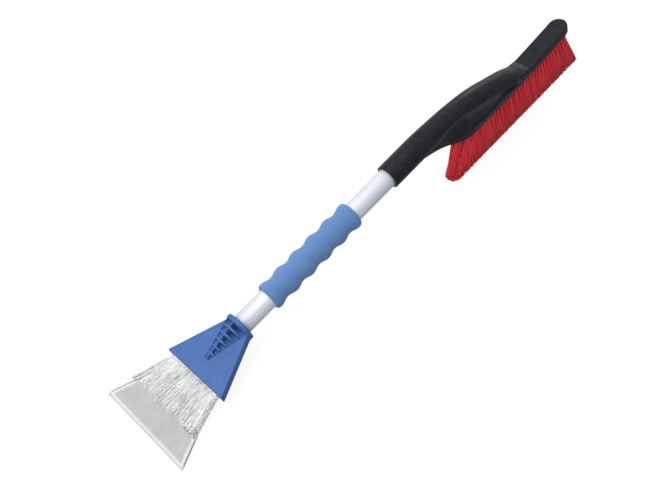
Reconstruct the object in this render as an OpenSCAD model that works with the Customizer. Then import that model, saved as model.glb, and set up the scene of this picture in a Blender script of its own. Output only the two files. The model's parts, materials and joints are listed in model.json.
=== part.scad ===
// Windshield ice scraper with a snow brush, lying on its blade edge and bristle tips.
// Every piece is drawn along the tube axis: +X towards the brush, +Z away from the bristles.
// lay_down() then tips the whole tool so that it rests on the plane z = 0.

/* [Tube] */
// Outer diameter of the aluminium tube
tube_d = 22; // [20:0.5:24]
// Wall thickness of the tube
tube_wall = 1; // [0.8:0.1:1.5]
// Distance from the scraper head's collar face to the brush socket's rim
tube_visible = 215; // [190:5:260]

/* [Foam grip] */
// Length of the foam sleeve
grip_len = 124; // [100:1:130]
// Distance from the collar face to the foam sleeve
grip_gap = 37; // [20:1:50]
// Number of finger bulges
grip_bulges = 6; // [4:1:7]
// Radius of the sleeve at a bulge
grip_r_bulge = 15.3; // [14.5:0.1:17]
// Radius of the sleeve between two bulges
grip_r_dip = 12.8; // [12.4:0.1:14]

/* [Ice blade] */
// Width of the blade at its scraping edge
blade_w = 124; // [110:1:130]
// Length of the flat, smooth part of the blade
blade_len = 28.4; // [20:0.2:32]
// Thickness of the smooth part of the blade
blade_t = 3; // [2.6:0.1:4]
// Length of the raised, ribbed part of the blade moulding
ribbed_len = 43; // [36:1:50]
// Number of chipper ribs
rib_count = 23; // [15:2:27]

/* [Scraper head] */
// Width of the head at its mouth
head_w = 86; // [78:1:88]
// Length of the head from its mouth to the collar face
head_len = 66; // [62:1:72]
// Thickness of the head's wedge
head_t = 9.4; // [8.8:0.1:11]
// Number of pockets on each side of the spine
pocket_count = 6; // [4:1:6]

/* [Brush head] */
// Length of the brush block
block_len = 198.5; // [180:0.5:210]
// Width of the brush block at the end near the grip
block_w = 24; // [22:0.2:26]
// Width of the brush block at its far end
block_w_end = 22.8; // [20:0.2:24]
// Overall thickness of the brush block
block_t = 9.6; // [9.4:0.1:12]
// Radius of the gentle arch along the block
block_arch_r = 1300; // [900:10:1600]
// Depth of the block's lowest face below the tube axis
block_drop = 44.2; // [42:0.1:50]

/* [Bristles] */
// Depth of the trimmed bristle tips below the tube axis, above the block's middle
bristle_drop = 92.2; // [86:0.1:96]
// Number of tufts in an inner row
tufts_per_row = 38; // [30:1:38]
// How far the tips of the first inner tufts reach past the block's near tip
reach_near = 13.4; // [4:0.1:16]
// How far the tips of the last tufts reach past the block's far end
reach_far = 2.6; // [0:0.1:8]

/* [Hidden] */
$fn = 64;

// Stations along the tube axis
tube_r = tube_d / 2;
collar_x = -137.5;
socket_x = collar_x + tube_visible;
head_x = collar_x - head_len;
ribbed_x = head_x - ribbed_len;
edge_x = ribbed_x - blade_len;
bend_x = socket_x + 83.5;
block_x = socket_x + 91.5;
arch_x = block_x + 63;
neck_end_x = block_x + 122;
socket_depth = 62;
collar_len = 5;
collar_r = tube_r + 5.6;
tube_x0 = collar_x - collar_len + 0.6;
tube_x1 = socket_x + socket_depth;

// Blade moulding
blade_bottom = -8.6;
blade_top = blade_bottom + blade_t;
bevel_len = 6.6;
edge_land = 1;
ribbed_w0 = 97;
ribbed_w1 = 70;
ribbed_top0 = 3.4;
ribbed_top1 = -0.9;
rib_r = 1.7;
tongue_z = -6.2;
tongue_t = 4.6;
tongue_len = 38;
tongue_end_w = 34;

// Scraper head
head_top = 0.8;
head_rise = 2.6;
boss_r = 15.4;
boss_tip_r = 1.1;
boss_len = 51;
boss_x = collar_x - collar_len;
spine_t = 1.8;
pocket_w = 4.9;
pocket_pitch = 7.4;
pocket_reach = 0.82;
pocket_floor = 0.55;
pocket_first = 2.7;
spigot_len = 36;
spigot_r = tube_r - tube_wall - 0.1;

// Screws
screw_r = 1.3;
screw_head_h = 1.4;
blade_screw_x = head_x + 20;
blade_screw_y = 15;
head_screw_x = collar_x + 14;
neck_screw_x = socket_x + 36;

// Brush head
neck_r = tube_r + 2.9;
bore_gap = 0.1;
bend_r = 190;
bend_angle = 21;
neck_w = 23.6;
neck_h = 19;
neck_narrow_x0 = socket_x + 40;
neck_narrow_x1 = block_x + 24;
neck_nose_x = neck_end_x - 31;
neck_nose_h = 6;
rim_round = 0.8;
block_end_x = block_x + block_len;
block_r0 = block_w / 2;
block_r1 = block_w_end / 2;
prow_r = 3.6;
prow_mid_r = 8.6;
prow_mid = 13;
prow_len = 24;
skirt_t = 2.1;
board_t = 7;
web_t = 5;
saddle_inset = 2.4;

// Tufts
row_pitch = 4.5;
tuft_r_root = 1.45;
tuft_r_tip = 2.15;
tuft_depth = 5.2;
trim_tilt = 0.7;
fan_near = 75;
fan_far = 50;
row_lean = 0.1;
end_root_inset = 5.5;
outer_root_inset = 19.5;
far_root_inset = 6.5;
far_outer_inset = 11.5;
outer_tip_inset = 4;
outer_tufts_fewer = 4;
staple_t = 0.5;
staple_h = 1.5;

// Resting position on the plane z = 0
bristle_len = bristle_drop - block_drop;
flare = (tuft_r_tip - tuft_r_root) / bristle_len;
tip_x0 = block_x - reach_near - tuft_r_tip - 0.3;
tip_x1 = block_end_x + reach_far + tuft_r_tip + 2;
function tip_z(x) = -bristle_drop - tan(trim_tilt) * (x - arch_x);
lie_angle = atan((blade_bottom - tip_z(tip_x0)) / (tip_x0 - edge_x));
function laid_x(x, z) = x * cos(lie_angle) - z * sin(lie_angle);
function laid_z(x, z) = x * sin(lie_angle) + z * cos(lie_angle);
shift_x = -(laid_x(edge_x, blade_bottom) + laid_x(tip_x1, tip_z(tip_x1))) / 2;
shift_z = -laid_z(edge_x, blade_bottom);

module lay_down() {
  translate([shift_x, 0, shift_z]) rotate([0, -lie_angle, 0]) children();
}

// A cylinder along +X from x0 to x1
module rod(x0, x1, r) {
  translate([x0, 0, 0]) rotate([0, 90, 0]) cylinder(h = x1 - x0, r = r);
}

// A cone frustum along +X
module taper(x0, x1, r0, r1) {
  translate([x0, 0, 0]) rotate([0, 90, 0]) cylinder(h = x1 - x0, r1 = r0, r2 = r1);
}

// A flat wedge: width w0 at x0 and w1 at x1, from z0 to z1
module wedge(x0, x1, w0, w1, z0, z1) {
  translate([0, 0, z0])
    linear_extrude(height = z1 - z0)
      polygon([[x0, -w0 / 2], [x1, -w1 / 2], [x1, w1 / 2], [x0, w0 / 2]]);
}

// A side profile drawn in X and Z, as wide as w
module side_profile(points, w) {
  rotate([90, 0, 0]) linear_extrude(height = w, center = true) polygon(points);
}

module scraper_blade() {
  color([0.85, 0.88, 0.9, 0.5])
  lay_down()
  union() {
    // smooth blade with a bevelled edge
    intersection() {
      wedge(edge_x, ribbed_x + 0.5, blade_w, ribbed_w0 + 2, blade_bottom, blade_top);
      side_profile([
        [edge_x, blade_bottom], [ribbed_x + 1, blade_bottom], [ribbed_x + 1, blade_top],
        [edge_x + bevel_len, blade_top], [edge_x, blade_bottom + edge_land]
      ], blade_w + 2);
    }
    // raised chipper body with its ribs
    intersection() {
      union() {
        side_profile([
          [ribbed_x, blade_bottom], [head_x + 2, blade_bottom], [head_x + 2, tongue_z],
          [head_x + 2.5, tongue_z], [head_x + 2.5, ribbed_top1], [head_x - 1, ribbed_top1],
          [ribbed_x + 1.5, ribbed_top0], [ribbed_x, ribbed_top0 - 2]
        ], ribbed_w0 + 2);
        for (i = [0 : rib_count - 1]) chipper_rib(i);
      }
      wedge(ribbed_x - 3, head_x - 0.3, ribbed_w0 + 2, ribbed_w1, blade_bottom, 8);
    }
    // tongue held inside the head
    wedge(head_x - 1, head_x + tongue_len, ribbed_w1 - 4, tongue_end_w, tongue_z, tongue_z + tongue_t);
  }
}

// One rib, fanned like the sides of the ribbed body
module chipper_rib(i) {
  side = (i - (rib_count - 1) / 2) / ((rib_count - 1) / 2);
  y0 = side * (ribbed_w0 / 2 - 2.4);
  y1 = side * (ribbed_w1 / 2 - 2.4);
  run = ribbed_len;
  length = sqrt(run * run + (y1 - y0) * (y1 - y0) + pow(ribbed_top0 - ribbed_top1, 2));
  translate([ribbed_x - 0.6, y0, ribbed_top0 - 0.3])
    rotate([0, 0, atan2(y1 - y0, run)])
      rotate([0, 90 + atan((ribbed_top0 - ribbed_top1) / run), 0])
        cylinder(h = length + 2, r = rib_r, $fn = 24);
}

module scraper_head() {
  color("steelblue")
  lay_down()
  difference() {
    union() {
      intersection() {
        wedge(head_x, boss_x + 1, head_w, 2 * boss_r + 1.6, head_top - head_t, head_top + head_rise + 1);
        side_profile([
          [head_x, head_top - head_t], [boss_x + 1, head_top - head_t + head_rise],
          [boss_x + 1, head_top + head_rise], [head_x, head_top]
        ], head_w + 2);
      }
      taper(boss_x - boss_len, boss_x, boss_tip_r, boss_r);
      rod(boss_x, collar_x, collar_r);
      rod(collar_x - collar_len, collar_x - collar_len + spigot_len, spigot_r);
    }
    // cup for the tube end around the spigot
    difference() {
      rod(tube_x0, collar_x + 1, tube_r + 0.1);
      rod(tube_x0 - 1, collar_x + 2, spigot_r);
    }
    // seat for the blade's tongue
    wedge(
      head_x - 1, head_x + tongue_len + 0.3, ribbed_w1 - 3.6, tongue_end_w + 0.4,
      tongue_z - 0.1, tongue_z + tongue_t + 0.1
    );
    // pockets between the cross ribs, above and below
    for (i = [0 : pocket_count - 1], side = [-1, 1])
      pocket(boss_x - pocket_first - i * pocket_pitch, side);
    blade_screw_places() screw_hole(5.9, 3.3);
    translate([head_screw_x, 0, -tube_r]) screw_hole(8, 1.5);
  }
}

// A pocket beside the spine, open to the boss surface above and below the wedge
module pocket(x, side) {
  r = mix(boss_r, boss_tip_r, (boss_x - x) / boss_len);
  reach = pocket_reach * r - spine_t / 2;
  y0 = side > 0 ? spine_t / 2 : -spine_t / 2 - reach;
  wedge_top = head_top + head_rise * (x - head_x) / (boss_x - head_x);
  above = max(wedge_top + 0.3, pocket_floor * r);
  below = min(wedge_top - head_t - 0.7, -pocket_floor * r);
  translate([x - pocket_w / 2, y0, above]) cube([pocket_w, reach, boss_r]);
  translate([x - pocket_w / 2, y0, below - boss_r]) cube([pocket_w, reach, boss_r]);
}

// A blind screw hole going up from the child's origin, with room below for the screw's head
module screw_hole(depth, room_r) {
  translate([0, 0, -1]) cylinder(h = depth + 1, r = screw_r + 0.02, $fn = 32);
  translate([0, 0, -6]) cylinder(h = 6, r = room_r, $fn = 32);
}

// Pan head screw, its head seated on z = 0 and its shank going up
module screw(shank_len, head_r) {
  difference() {
    union() {
      cylinder(h = shank_len - 2, r = screw_r, $fn = 32);
      translate([0, 0, shank_len - 2]) cylinder(h = 2, r1 = screw_r, r2 = 0.3, $fn = 32);
      translate([0, 0, -screw_head_h]) cylinder(h = screw_head_h, r = head_r, $fn = 32);
    }
    for (a = [0, 90])
      rotate([0, 0, a]) translate([-1.3, -0.3, -screw_head_h - 1]) cube([2.6, 0.6, 1.9]);
  }
}

module blade_screw_places() {
  for (y = [-blade_screw_y, blade_screw_y])
    translate([blade_screw_x, y, head_top - head_t + 1.6]) children();
}

module blade_screws() {
  color("gray")
  lay_down()
  blade_screw_places() screw(5.6, 2.8);
}

module tube_screw_places() {
  translate([head_screw_x, 0, -tube_r]) children();
  translate([neck_screw_x, 0, -neck_r]) children();
}

module tube_screws() {
  color("gray")
  lay_down()
  tube_screw_places() screw(7.6, 2.6);
}

module tube() {
  color("silver")
  lay_down()
  difference() {
    rod(tube_x0, tube_x1, tube_r);
    rod(tube_x0 - 1, tube_x1 + 1, tube_r - tube_wall);
    for (x = [head_screw_x, neck_screw_x])
      translate([x, 0, -tube_r]) cylinder(h = 4, r = screw_r + 0.02, center = true, $fn = 32);
  }
}

module tube_plug() {
  color("dimgray")
  lay_down()
  difference() {
    union() {
      rod(tube_x1 - 34, tube_x1, tube_r - tube_wall - 0.05);
      rod(tube_x1, tube_x1 + 1.6, tube_r - 0.3);
    }
    rod(tube_x1 - 22, tube_x1 + 3, tube_r - tube_wall - 3);
    translate([neck_screw_x, 0, -neck_r]) cylinder(h = 8.5, r = screw_r + 0.02, $fn = 32);
  }
}

// Radius of the foam sleeve at a distance t from its lower end
grip_pitch = grip_len / (grip_bulges - 0.58);
function grip_wave(t) = cos(360 * (t - 0.21 * grip_pitch) / grip_pitch);
function grip_r(t) = (grip_r_bulge + grip_r_dip) / 2 + (grip_r_bulge - grip_r_dip) / 2 * grip_wave(t);
grip_round = 2.6;
grip_steps = 60;
function grip_end_inset(t) =
  t < grip_round ? grip_round - sqrt(pow(grip_round, 2) - pow(grip_round - t, 2)) : 0;

module foam_grip() {
  color("cornflowerblue")
  lay_down()
  translate([collar_x + grip_gap, 0, 0])
    rotate([0, 90, 0])
      rotate_extrude($fn = 96)
        polygon(concat(
          [[tube_r + 0.05, 0]],
          [for (i = [0 : 4]) let (t = grip_round * (1 - cos(90 * i / 4)))
            [grip_r(t) - grip_end_inset(t), t]],
          [for (i = [1 : grip_steps - 1]) let (t = grip_round + (grip_len - 2 * grip_round) * i / grip_steps)
            [grip_r(t), t]],
          [for (i = [4 : -1 : 0]) let (t = grip_round * (1 - cos(90 * i / 4)))
            [grip_r(grip_len - t) - grip_end_inset(t), grip_len - t]],
          [[tube_r + 0.05, grip_len]]
        ));
}

// Centre line of the neck: straight, then an arc, then straight down to the block
arc_run = bend_r * sin(bend_angle);
function neck_z(x) =
  x < bend_x ? 0
  : x < bend_x + arc_run ? sqrt(bend_r * bend_r - pow(x - bend_x, 2)) - bend_r
  : -bend_r * (1 - cos(bend_angle)) - (x - bend_x - arc_run) * tan(bend_angle);
// Smooth step from 0 at x = a to 1 at x = b
function ease(x, a, b) = let (t = min(1, max(0, (x - a) / (b - a)))) t * t * (3 - 2 * t);
function mix(a, b, t) = a + (b - a) * t;
// Half sizes of the neck: round at the socket, narrower on the way down, thin at its nose
function rim_inset(x) = rim_round * ease(socket_x + 2 - x, 0, 2);
function narrowing(x) = ease(x, neck_narrow_x0, neck_narrow_x1);
function neck_half_w(x) = mix(neck_r, neck_w / 2, narrowing(x)) - rim_inset(x);
function neck_body_h(x) = mix(neck_r, neck_h / 2, narrowing(x)) - rim_inset(x);
function neck_half_h(x) = mix(neck_body_h(x), neck_nose_h / 2, ease(x, neck_nose_x, neck_end_x));
neck_sides = 32;
neck_steps = 25;
neck_xs = concat(
  [socket_x, socket_x + 1, socket_x + 2],
  [for (i = [0 : neck_steps]) mix(neck_narrow_x0 - 8, neck_end_x, i / neck_steps)]
);
function neck_ring(x) = [for (k = [0 : neck_sides - 1]) let (a = 360 * k / neck_sides)
  [x, neck_half_w(x) * cos(a), neck_z(x) + neck_half_h(x) * sin(a)]];

module neck() {
  rings = len(neck_xs);
  polyhedron(
    points = [for (x = neck_xs) each neck_ring(x)],
    faces = concat(
      [[for (k = [0 : neck_sides - 1]) k]],
      [for (i = [0 : rings - 2], k = [0 : neck_sides - 1]) let (n = (k + 1) % neck_sides)
        [i * neck_sides + k, (i + 1) * neck_sides + k, (i + 1) * neck_sides + n, i * neck_sides + n]],
      [[for (k = [neck_sides - 1 : -1 : 0]) (rings - 1) * neck_sides + k]]
    )
  );
}

// Two circles on the X axis and the straight sides that touch both
module tangent_pair(x0, r0, x1, r1) {
  side = asin((r0 - r1) / (x1 - x0));
  translate([x0, 0]) circle(r = r0);
  translate([x1, 0]) circle(r = r1);
  polygon([
    [x0 + r0 * sin(side), -r0 * cos(side)], [x1 + r1 * sin(side), -r1 * cos(side)],
    [x1 + r1 * sin(side), r1 * cos(side)], [x0 + r0 * sin(side), r0 * cos(side)]
  ]);
}

// Plan of the block, inset by d: a narrow prow, a wide middle and a round far end
module block_plan(d) {
  tangent_pair(block_x + prow_r, prow_r - d / 2, block_x + prow_mid, prow_mid_r - d);
  tangent_pair(block_x + prow_mid, prow_mid_r - d, block_x + prow_len, block_r0 - d);
  tangent_pair(block_x + prow_len, block_r0 - d, block_end_x - block_r1, block_r1 - d);
}

// Slab of the arched block between two heights above its underside, inset by d
function underside_z(x) =
  -block_drop + block_arch_r - sqrt(block_arch_r * block_arch_r - pow(x - arch_x, 2));
arch_steps = 15;
arch_xs = [for (i = [0 : arch_steps]) mix(block_x - 3, block_end_x + 3, i / arch_steps)];
module arched_slab(z0, z1, d) {
  intersection() {
    translate([0, 0, -block_drop - 8]) linear_extrude(height = 60) block_plan(d);
    side_profile(concat(
      [for (i = [0 : arch_steps]) [arch_xs[i], underside_z(arch_xs[i]) + z0]],
      [for (i = [arch_steps : -1 : 0]) [arch_xs[i], underside_z(arch_xs[i]) + z1]]
    ), 60);
  }
}

// Saddle that fills the space between the neck and the top of the block
module saddle() {
  intersection() {
    translate([0, 0, -block_drop]) linear_extrude(height = block_drop) block_plan(saddle_inset);
    side_profile([
      [block_x + 1, -block_drop + 6], [block_x + 1, -4], [block_x + 24, -6],
      [neck_end_x - 60, -18], [neck_end_x - 20, -36], [neck_end_x - 30, -block_drop + 8]
    ], block_w);
  }
}

// Gusset under the neck, running down to the block's near tip
module web() {
  foot_z = -block_drop + 5;
  side_profile([
    [neck_narrow_x0, -neck_r + 2.5], [block_x - 28, -24], [block_x - 15, -29.8],
    [block_x + 1, foot_z], [block_x + 10, foot_z + 4], [block_x + 60, -24],
    [block_x + 30, -4], [block_x - 20, -4]
  ], web_t);
}

module brush_head() {
  color([0.13, 0.13, 0.15])
  lay_down()
  difference() {
    union() {
      neck();
      web();
      saddle();
      arched_slab(0, block_t, 0);
    }
    rod(socket_x - 1, tube_x1 + 2, tube_r + bore_gap);
    arched_slab(-5, board_t, skirt_t);
    translate([neck_screw_x, 0, -neck_r]) screw_hole(4, 3);
  }
}

module bristle_block() {
  color([0.18, 0.18, 0.2])
  lay_down()
  difference() {
    arched_slab(0.4, board_t - 0.05, skirt_t + 0.1);
    for (row = [1 : 4], i = [0 : tufts_in(row) - 1])
      tuft_place(row, i)
        translate([0, 0, -2]) cylinder(h = tuft_depth + 2, r = tuft_r_root + 0.1, $fn = 18);
  }
}

// Tufts: rows 1 and 4 are the outer ones, shorter because the block's ends are round
function is_outer(row) = row == 1 || row == 4;
function tufts_in(row) = is_outer(row) ? tufts_per_row - outer_tufts_fewer : tufts_per_row;
function row_y(row) = (row - 2.5) * row_pitch;
function first_root(row) = block_x + (is_outer(row) ? outer_root_inset : end_root_inset);
function last_root(row) = block_end_x - (is_outer(row) ? far_outer_inset : far_root_inset);
function tuft_x(row, i) = mix(first_root(row), last_root(row), i / (tufts_in(row) - 1));
// Lean of the tufts: the end ones reach outwards and those in the middle stand straight
function near_tip(row) = block_x - reach_near + (is_outer(row) ? outer_tip_inset : 0);
function near_lean(row) = atan((first_root(row) - near_tip(row)) / bristle_len);
function far_lean(row) = atan((block_end_x + reach_far - last_root(row)) / (bristle_len + 3));
function fade(distance, fan) = pow(max(0, 1 - distance / fan), 1.6);
function lean(row, x) =
  near_lean(row) * fade(x - first_root(row), fan_near) - far_lean(row) * fade(last_root(row) - x, fan_far);

// Puts a child at a tuft's mouth, with +Z running up into the block
module tuft_place(row, i) {
  x = tuft_x(row, i);
  translate([x, row_y(row), underside_z(x)])
    rotate([row_y(row) * row_lean, 0, 0])
      rotate([0, lean(row, x), 0])
        children();
}

module tuft_row(row) {
  length = bristle_len + 25;
  difference() {
    intersection() {
      for (i = [0 : tufts_in(row) - 1])
        tuft_place(row, i)
          translate([0, 0, tuft_depth - 0.2])
            rotate([180, 0, 0])
              cylinder(h = length, r1 = tuft_r_root - 0.1, r2 = tuft_r_root + flare * length, $fn = 20);
      translate([arch_x, 0, -bristle_drop])
        rotate([0, trim_tilt, 0])
          translate([-160, -60, 0]) cube([320, 120, 90]);
    }
    staple_row(row, 0.03);
  }
}

// The flat wire staples that hold a row's tufts, grown by a gap all round
module staple_row(row, gap) {
  long = 2 * tuft_r_root;
  for (i = [0 : tufts_in(row) - 1])
    tuft_place(row, i)
      translate([-long / 2 - gap, -staple_t / 2 - gap, tuft_depth - 1.9 - gap])
        cube([long + 2 * gap, staple_t + 2 * gap, staple_h + 2 * gap]);
}

module bristle_row_1() { color("crimson") lay_down() tuft_row(1); }
module bristle_row_2() { color("crimson") lay_down() tuft_row(2); }
module bristle_row_3() { color("crimson") lay_down() tuft_row(3); }
module bristle_row_4() { color("crimson") lay_down() tuft_row(4); }

module staples_row_1() { color("silver") lay_down() staple_row(1, 0); }
module staples_row_2() { color("silver") lay_down() staple_row(2, 0); }
module staples_row_3() { color("silver") lay_down() staple_row(3, 0); }
module staples_row_4() { color("silver") lay_down() staple_row(4, 0); }

scraper_blade();
scraper_head();
blade_screws();
tube();
tube_screws();
tube_plug();
foam_grip();
brush_head();
bristle_block();
bristle_row_1();
bristle_row_2();
bristle_row_3();
bristle_row_4();
staples_row_1();
staples_row_2();
staples_row_3();
staples_row_4();
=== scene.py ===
# Windshield ice scraper with a snow brush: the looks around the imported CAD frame.
# Shapes are drawn in the tube's own frame, in millimetres: X along the tube towards the brush,
# Z away from the bristles. lay() turns them into row-frame metres.
import json
import math

import bpy
import numpy as np
from mathutils import Matrix, Vector


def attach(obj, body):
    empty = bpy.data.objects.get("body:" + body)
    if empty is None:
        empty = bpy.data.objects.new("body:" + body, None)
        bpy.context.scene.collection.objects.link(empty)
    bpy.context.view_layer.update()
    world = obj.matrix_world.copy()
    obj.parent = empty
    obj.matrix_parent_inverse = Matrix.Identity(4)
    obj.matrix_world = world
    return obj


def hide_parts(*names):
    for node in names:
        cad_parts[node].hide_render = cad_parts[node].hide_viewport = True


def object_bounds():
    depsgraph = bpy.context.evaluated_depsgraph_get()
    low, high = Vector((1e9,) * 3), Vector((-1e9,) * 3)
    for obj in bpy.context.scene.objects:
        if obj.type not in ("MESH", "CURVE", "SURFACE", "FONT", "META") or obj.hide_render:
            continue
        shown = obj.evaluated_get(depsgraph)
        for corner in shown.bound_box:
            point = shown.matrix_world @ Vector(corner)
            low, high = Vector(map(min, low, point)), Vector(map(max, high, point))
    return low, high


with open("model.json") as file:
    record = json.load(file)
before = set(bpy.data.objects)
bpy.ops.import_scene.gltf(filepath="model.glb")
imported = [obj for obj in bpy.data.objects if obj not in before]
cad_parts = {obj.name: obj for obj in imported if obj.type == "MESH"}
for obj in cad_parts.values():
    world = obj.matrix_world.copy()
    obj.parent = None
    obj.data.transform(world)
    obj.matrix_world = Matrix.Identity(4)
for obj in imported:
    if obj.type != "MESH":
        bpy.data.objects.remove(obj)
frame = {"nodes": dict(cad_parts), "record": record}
cad_box = [list(corner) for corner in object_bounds()]

# ---------------------------------------------------------------- the tube's frame
CLIP_X = 50.5  # the middle of the bare stretch of tube, where the record has its clip mount
clip = next(m for m in frame["record"]["mounts"] if m["name"] == "tube_clip_place")
ALONG = np.array(clip["axis"]) / np.linalg.norm(clip["axis"])
ABOVE = np.array([-ALONG[2], 0.0, ALONG[0]])
ACROSS = np.array([0.0, 1.0, 0.0])
TURN = np.stack([ALONG, ACROSS, ABOVE])
START = np.array(clip["pos_m"]) - ALONG * CLIP_X / 1000


def lay(points):
    """Tube-frame millimetres to row-frame metres."""
    return START + np.asarray(points, float) / 1000 @ TURN


# ---------------------------------------------------------------- sizes, from the CAD source
# the tube
TUBE_R, TUBE_WALL = 11.0, 1.0
TUBE_X0, TUBE_X1 = -141.9, 139.5
# the blade and its ribbed body
EDGE_X, RIBBED_X, HEAD_X = -274.9, -246.5, -203.5
EDGE_HALF, SHOULDER_HALF = 62.0, 49.5
BLADE_Z0, BLADE_Z1 = -8.6, -5.6
RIB_W0, RIB_W1, RIB_TOP0, RIB_TOP1 = 97.0, 70.0, 3.4, -0.9
# the scraper head
BOSS_X, COLLAR_X, COLLAR_R = -142.5, -137.5, 16.6
HEAD_TOP, HEAD_T, HEAD_RISE = 0.8, 9.4, 2.6
# the brush head
SOCKET_X, NECK_END = 77.5, 291.0
NECK_R, NECK_W, NECK_H = 13.9, 23.6, 19.0
BEND_X, BEND_R, BEND_ANGLE = 161.0, 190.0, math.radians(21)
BLOCK_X, BLOCK_END, BLOCK_DROP, BLOCK_T = 169.0, 367.5, 44.2, 9.6
ARCH_X, ARCH_R = 232.0, 1300.0
BLOCK_R1 = 11.4
PLAN_CIRCLES = [(BLOCK_X + 3.6, 3.6), (BLOCK_X + 13, 8.6), (BLOCK_X + 24, 12.0),
                (BLOCK_END - BLOCK_R1, BLOCK_R1)]
SKIRT_T, BOARD_T = 2.1, 7.0
BRISTLE_DROP, TRIM_TILT = 92.2, math.tan(math.radians(0.7))
# clearance between the tube and what takes it
FIT = 0.1


# ---------------------------------------------------------------- shapes from distance fields
def mix(a, b, t):
    return a + (b - a) * t


def ease(x, a, b):
    """0 before a, 1 after b, and a smooth rise between them."""
    t = np.clip((x - a) / (b - a), 0, 1)
    return t * t * (3 - 2 * t)


def join(a, b, k):
    """Union with a fillet of about k."""
    h = np.clip(0.5 + 0.5 * (b - a) / k, 0, 1)
    return mix(b, a, h) - k * h * (1 - h)


def cut(a, b, k):
    """a without b, with the new edge rounded by about k."""
    return -join(-a, b, k)


def rounded(sides, r):
    """The overlap of half-spaces, its edges rounded by r."""
    grown = [s + r for s in sides]
    outside = sum(np.maximum(g, 0) ** 2 for g in grown)
    inside = grown[0]
    for g in grown[1:]:
        inside = np.maximum(inside, g)
    return np.sqrt(outside) + np.minimum(inside, 0) - r


def disc(y, z, r):
    return np.sqrt(y * y + z * z) - r


def rod(x, y, z, x0, x1, r, edge):
    """A round bar on the tube's axis, its ends' edges rounded."""
    return rounded([disc(y, z, r), x0 - x, x - x1], edge)


def uneven_capsule(x, y, x0, r0, x1, r1):
    """Plan distance to two circles and the straight sides that touch both."""
    span = x1 - x0
    b = (r0 - r1) / span
    a = math.sqrt(1 - b * b)
    px, py = np.abs(y), x - x0
    k = -b * px + a * py
    near = np.sqrt(px * px + py * py) - r0
    far = np.sqrt(px * px + (py - span) ** 2) - r1
    side = px * a + py * b - r0
    return np.where(k < 0, near, np.where(k > a * span, far, side))


def polygon_distance(points, x, z):
    """Signed distance in the X-Z plane to a polygon."""
    p = np.asarray(points, float)
    shape = np.broadcast(x, z).shape
    best, inside = np.full(shape, 1e9), np.zeros(shape, bool)
    for (ax, az), (bx, bz) in zip(p, np.roll(p, -1, 0)):
        ex, ez = bx - ax, bz - az
        t = np.clip(((x - ax) * ex + (z - az) * ez) / (ex * ex + ez * ez), 0, 1)
        best = np.minimum(best, (x - ax - t * ex) ** 2 + (z - az - t * ez) ** 2)
        crosses = ((az > z) != (bz > z)) & (x < ax + (z - az) * ex / (ez if ez else 1e-9))
        inside = inside ^ crosses
    return np.where(inside, -1, 1) * np.sqrt(best)


# ---------------------------------------------------------------- meshes
CORNERS = np.array([(i, j, k) for i in (0, 1) for j in (0, 1) for k in (0, 1)])
CELL_EDGES = [(a, b) for a in range(8) for b in range(a + 1, 8)
              if np.abs(CORNERS[a] - CORNERS[b]).sum() == 1]
SETTLE_STEPS, PROBE, LEAST_SLOPE = 4, 0.02, 0.05


def crossing_points(f, cells):
    """The mean of the places where f changes sign on each cell's edges, in cells."""
    corner = np.stack([f[tuple((cells + c).T)] for c in CORNERS], 1)
    total, crossings = np.zeros((len(cells), 3)), np.zeros(len(cells))
    for a, b in CELL_EDGES:
        fa, fb = corner[:, a], corner[:, b]
        hit = (fa < 0) != (fb < 0)
        t = np.where(hit, fa / np.where(hit, fa - fb, 1), 0)
        total += hit[:, None] * (CORNERS[a] + (CORNERS[b] - CORNERS[a]) * t[:, None])
        crossings += hit
    return total / crossings[:, None]


def crossing_quads(inside, number):
    """A quad round each grid edge that the surface crosses, through its four cells' vertices."""
    quads = []
    step = np.eye(3, dtype=int)
    for axis in range(3):
        one, two = [a for a in range(3) if a != axis]
        lower = [slice(None)] * 3
        upper = [slice(None)] * 3
        lower[axis], upper[axis] = slice(0, -1), slice(1, None)
        a, b = inside[tuple(lower)], inside[tuple(upper)]
        edges = np.argwhere(a != b)
        edges = edges[(edges[:, one] > 0) & (edges[:, one] < inside.shape[one] - 1)
                      & (edges[:, two] > 0) & (edges[:, two] < inside.shape[two] - 1)]
        around = (step[one] + step[two], step[two], step[one] * 0, step[one])
        ring = np.stack([number[tuple((edges - s).T)] for s in around], 1)
        flip = a[tuple(edges.T)] == (axis == 1)
        ring[flip] = ring[flip][:, ::-1]
        quads.append(ring)
    return np.concatenate(quads)


def settle(field, verts, cell):
    """Vertices moved along the field's slope onto field = 0."""
    for _ in range(SETTLE_STEPS):
        here = field(*verts.T)
        slope = np.stack([(field(*(verts + d).T) - field(*(verts - d).T)) / (2 * PROBE)
                          for d in np.eye(3) * PROBE], 1)
        steep = np.maximum((slope ** 2).sum(1), LEAST_SLOPE)
        verts -= np.clip((here / steep)[:, None] * slope, -cell / 3, cell / 3)
    return verts


def surface(field, low, high, cell):
    """Vertices and quads of field = 0, with one vertex in each cell that it passes through."""
    axes = [np.arange(l, h + cell, cell) for l, h in zip(low, high)]
    f = field(axes[0][:, None, None], axes[1][None, :, None], axes[2][None, None, :])
    f = np.ascontiguousarray(np.broadcast_to(f, [len(a) for a in axes]))
    inside = f < 0
    nx, ny, nz = (n - 1 for n in inside.shape)
    count = sum(inside[i:nx + i, j:ny + j, k:nz + k].astype(np.int8) for i, j, k in CORNERS)
    cells = np.argwhere((count > 0) & (count < len(CORNERS)))
    number = np.full(count.shape, -1, np.int32)
    number[tuple(cells.T)] = np.arange(len(cells))
    verts = np.array(low) + (cells + crossing_points(f, cells)) * cell
    return settle(field, verts, cell), crossing_quads(inside, number)


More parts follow.
